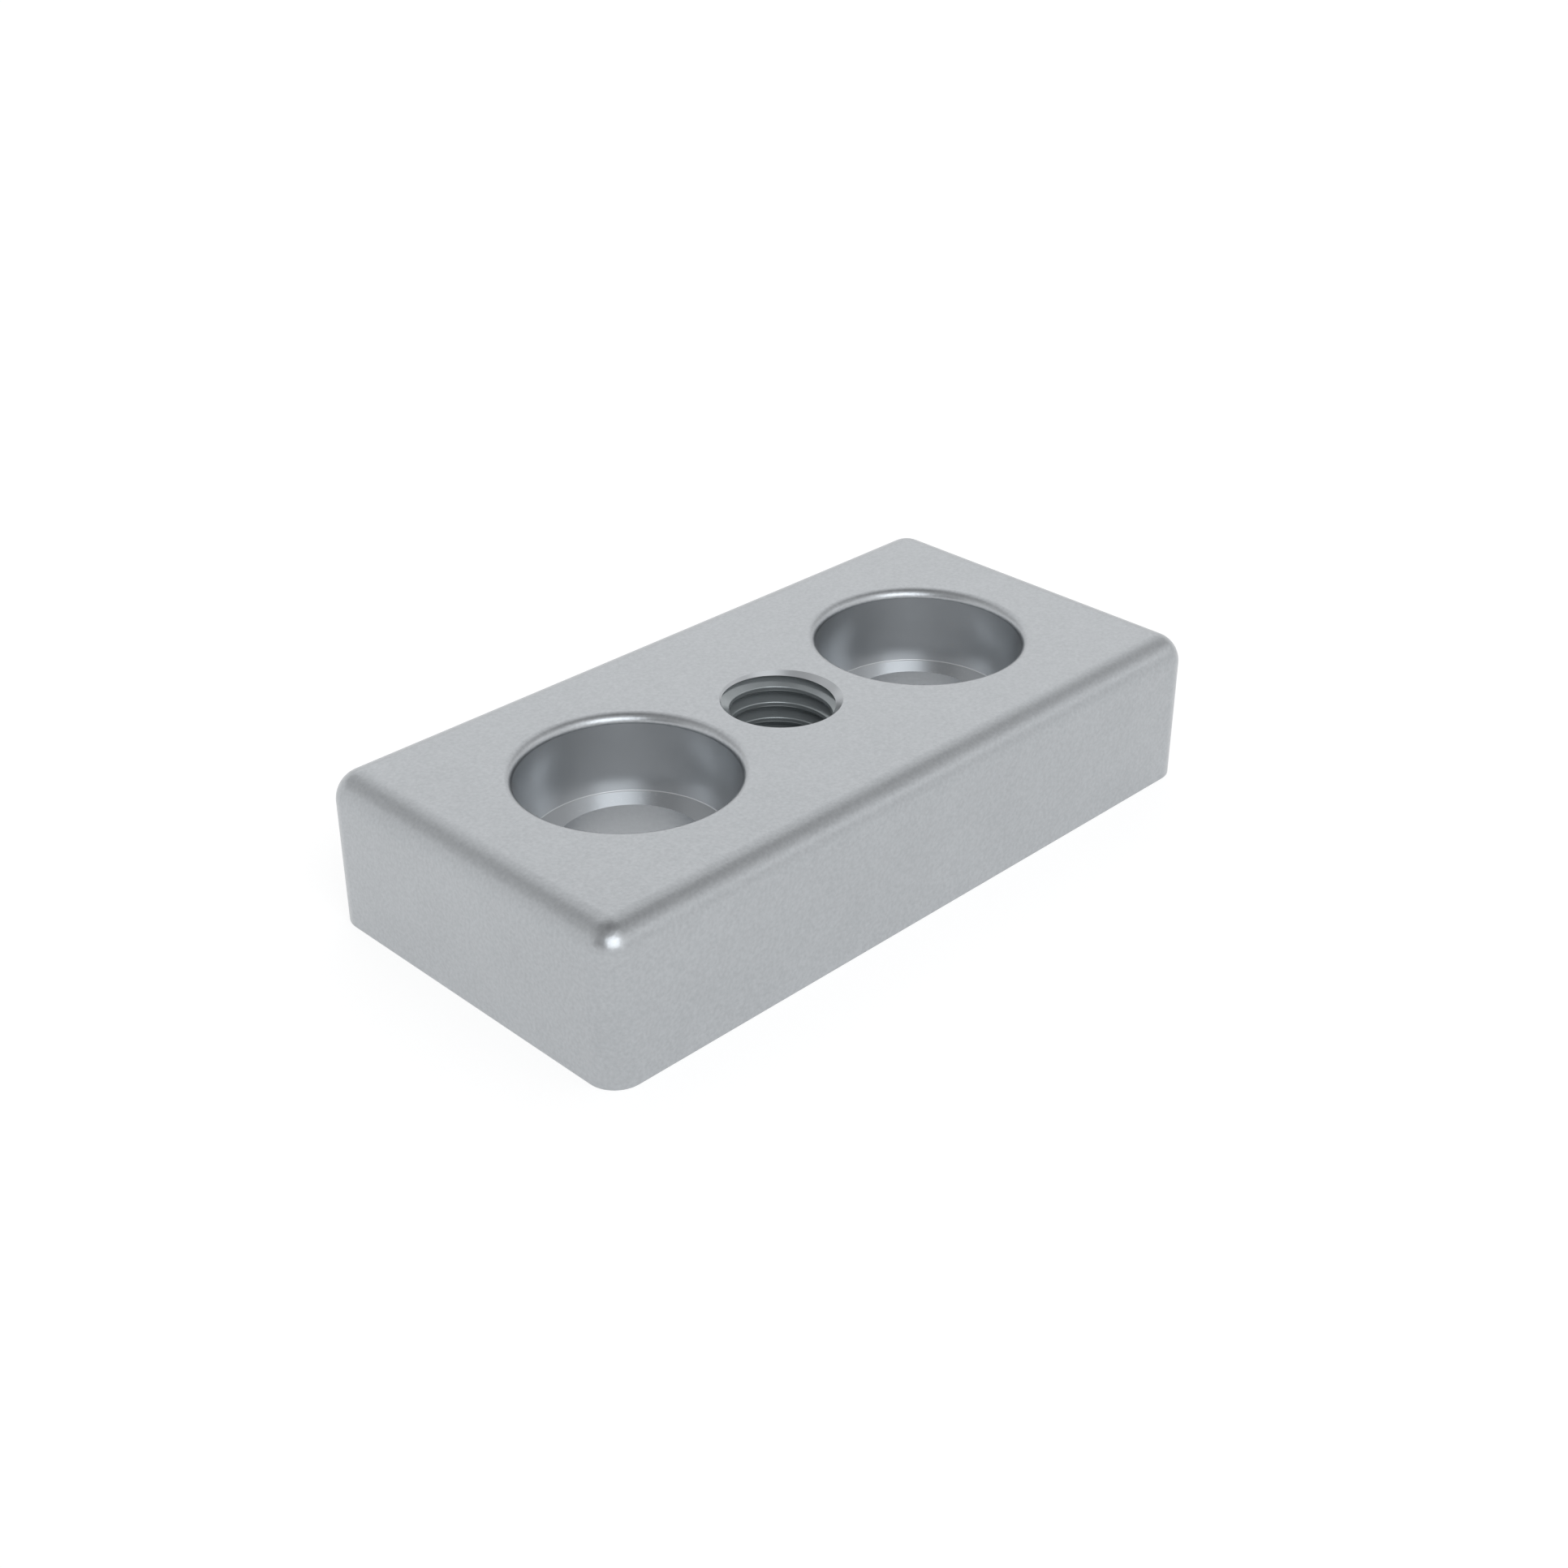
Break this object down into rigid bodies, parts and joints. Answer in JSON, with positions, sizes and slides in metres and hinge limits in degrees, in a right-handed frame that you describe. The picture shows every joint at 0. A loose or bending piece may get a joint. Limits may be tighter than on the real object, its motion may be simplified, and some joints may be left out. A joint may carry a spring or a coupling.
{
  "type": "base plate",
  "caption": "Rectangular cast base plate with rounded top edges, counterbored screw holes for a slotted profile and a threaded hole for a levelling foot between them.",
  "frame": {"origin": "middle of the flat underside that lies on the profile", "axes": "+X along the length through both screw holes, +Y along the width, +Z out of the counterbores"},
  "size_m": [0.08, 0.04, 0.016],
  "materials": {
    "cast_alloy": "fine blasted casting, satin, with smoother machined holes"
  },
  "bodies": {
    "root": {"base_plate": "cast_alloy"}
  },
  "joints": []
}
